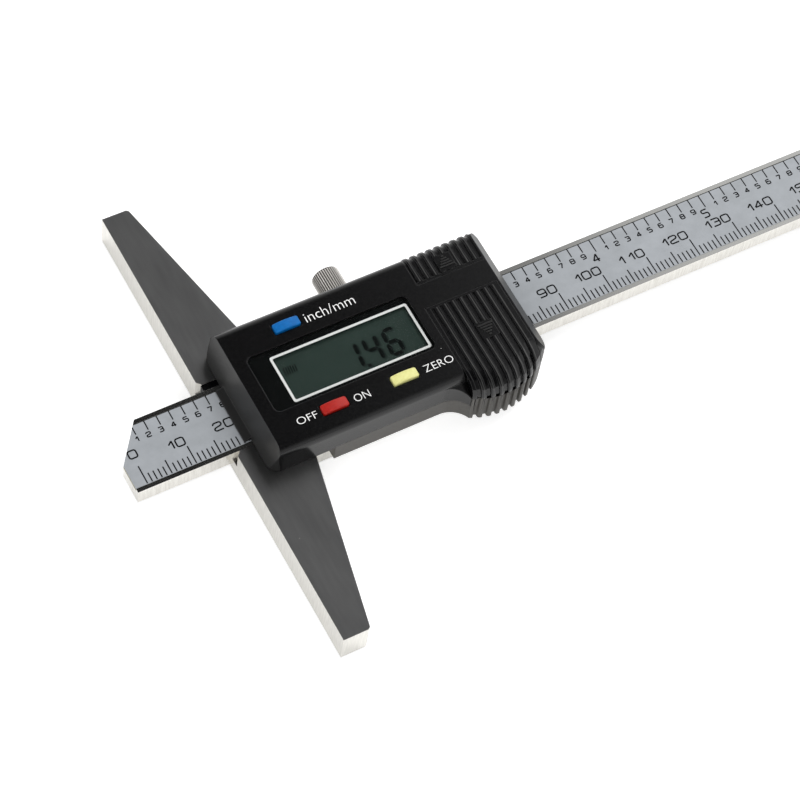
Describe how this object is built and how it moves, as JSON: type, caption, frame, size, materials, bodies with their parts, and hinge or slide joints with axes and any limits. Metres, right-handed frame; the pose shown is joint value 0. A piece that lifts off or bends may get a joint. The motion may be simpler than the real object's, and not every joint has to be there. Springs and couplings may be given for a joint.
{
  "type": "depth gauge",
  "caption": "Digital depth gauge: a wide flat base, a scaled beam that slides through it, and a black electronic housing with a display, buttons and a ribbed grip.",
  "frame": {"origin": "on the measuring face of the base, at its lower edge, under the middle of the beam", "axes": "+X along the beam away from the measuring tip, +Y across the beam towards the lock screw, +Z out of the display"},
  "size_m": [0.23, 0.1, 0.0148],
  "materials": {
    "ground_steel": "fine ground",
    "beam_steel": "fine ground",
    "dark_screws": "blackened",
    "scale_board": "laminate",
    "scale_film": "printed film",
    "blued_steel": "blued",
    "tip_brass": "rolled",
    "lock_screw": "plated",
    "spring_steel": "rolled",
    "housing": "satin moulded",
    "covers": "satin moulded",
    "side_rails": "satin moulded",
    "window": "clear plastic",
    "display": "polished",
    "inner_plastic": "moulded",
    "soft_rubber": "soft",
    "circuit_board": "laminate",
    "chip_resin": "cast resin",
    "contact_gold": "plated",
    "button_blue": "moulded",
    "button_red": "moulded",
    "button_yellow": "moulded",
    "cell_steel": "plated"
  },
  "bodies": {
    "frame": {"base_frame": "ground_steel", "gib_strip": "blued_steel", "gib_set_screws": "dark_screws", "keeper_front": "spring_steel", "keeper_rear": "spring_steel", "keeper_screws": "dark_screws", "housing_top": "housing", "side_rail_lower": "side_rails", "side_rail_upper": "side_rails", "window_lens": "window", "display_glass": "display", "display_holder": "inner_plastic", "zebra_strips": "soft_rubber", "circuit_board": "circuit_board", "board_screws": "dark_screws", "chip_cover": "chip_resin", "data_port_pads": "contact_gold", "snap_domes": "spring_steel", "battery_cell": "cell_steel", "battery_tray": "inner_plastic", "contact_negative": "spring_steel", "contact_positive": "spring_steel", "housing_screws": "dark_screws"},
    "beam": {"depth_beam": "beam_steel", "beam_stop_screws": "dark_screws", "scale_board": "scale_board", "scale_film": "scale_film"},
    "lock_tip": {"lock_tip": "tip_brass"},
    "lock_screw": {"lock_screw": "lock_screw"},
    "inch_button": {"button_inch_mm": "button_blue"},
    "power_button": {"button_on_off": "button_red"},
    "zero_button": {"button_zero": "button_yellow"},
    "battery_door": {"battery_cover": "covers"},
    "data_door": {"data_port_cover": "covers"}
  },
  "joints": [
    {"name": "beam_slide", "type": "slide", "parent": "frame", "child": "beam", "axis": [-1, 0, 0], "range_m": [-0.0199, 0.1301]},
    {"name": "lock_tip_slide", "type": "slide", "parent": "frame", "child": "lock_tip", "axis": [0, 1, 0], "range_m": [-0.00006, 0.001]},
    {"name": "lock_screw_turn", "type": "hinge", "parent": "lock_tip", "child": "lock_screw", "pos_m": [0.0338, 0.012, 0.00507], "axis": [0, 1, 0], "range_deg": [-40, 721]},
    {"name": "inch_button_press", "type": "slide", "parent": "frame", "child": "inch_button", "axis": [0, 0, -1], "range_m": [0, 0.0005], "stiffness_N_per_m": 1500},
    {"name": "power_button_press", "type": "slide", "parent": "frame", "child": "power_button", "axis": [0, 0, -1], "range_m": [0, 0.0005], "stiffness_N_per_m": 1500},
    {"name": "zero_button_press", "type": "slide", "parent": "frame", "child": "zero_button", "axis": [0, 0, -1], "range_m": [0, 0.0005], "stiffness_N_per_m": 1500},
    {"name": "battery_door_slide", "type": "slide", "parent": "frame", "child": "battery_door", "axis": [0, -1, 0], "range_m": [0, 0.016]},
    {"name": "data_door_slide", "type": "slide", "parent": "frame", "child": "data_door", "axis": [0, 1, 0], "range_m": [0, 0.006]}
  ],
  "couplings": [
    {"joint": "lock_screw_turn", "follows": "lock_tip_slide", "rad_per_m": 12566}
  ]
}
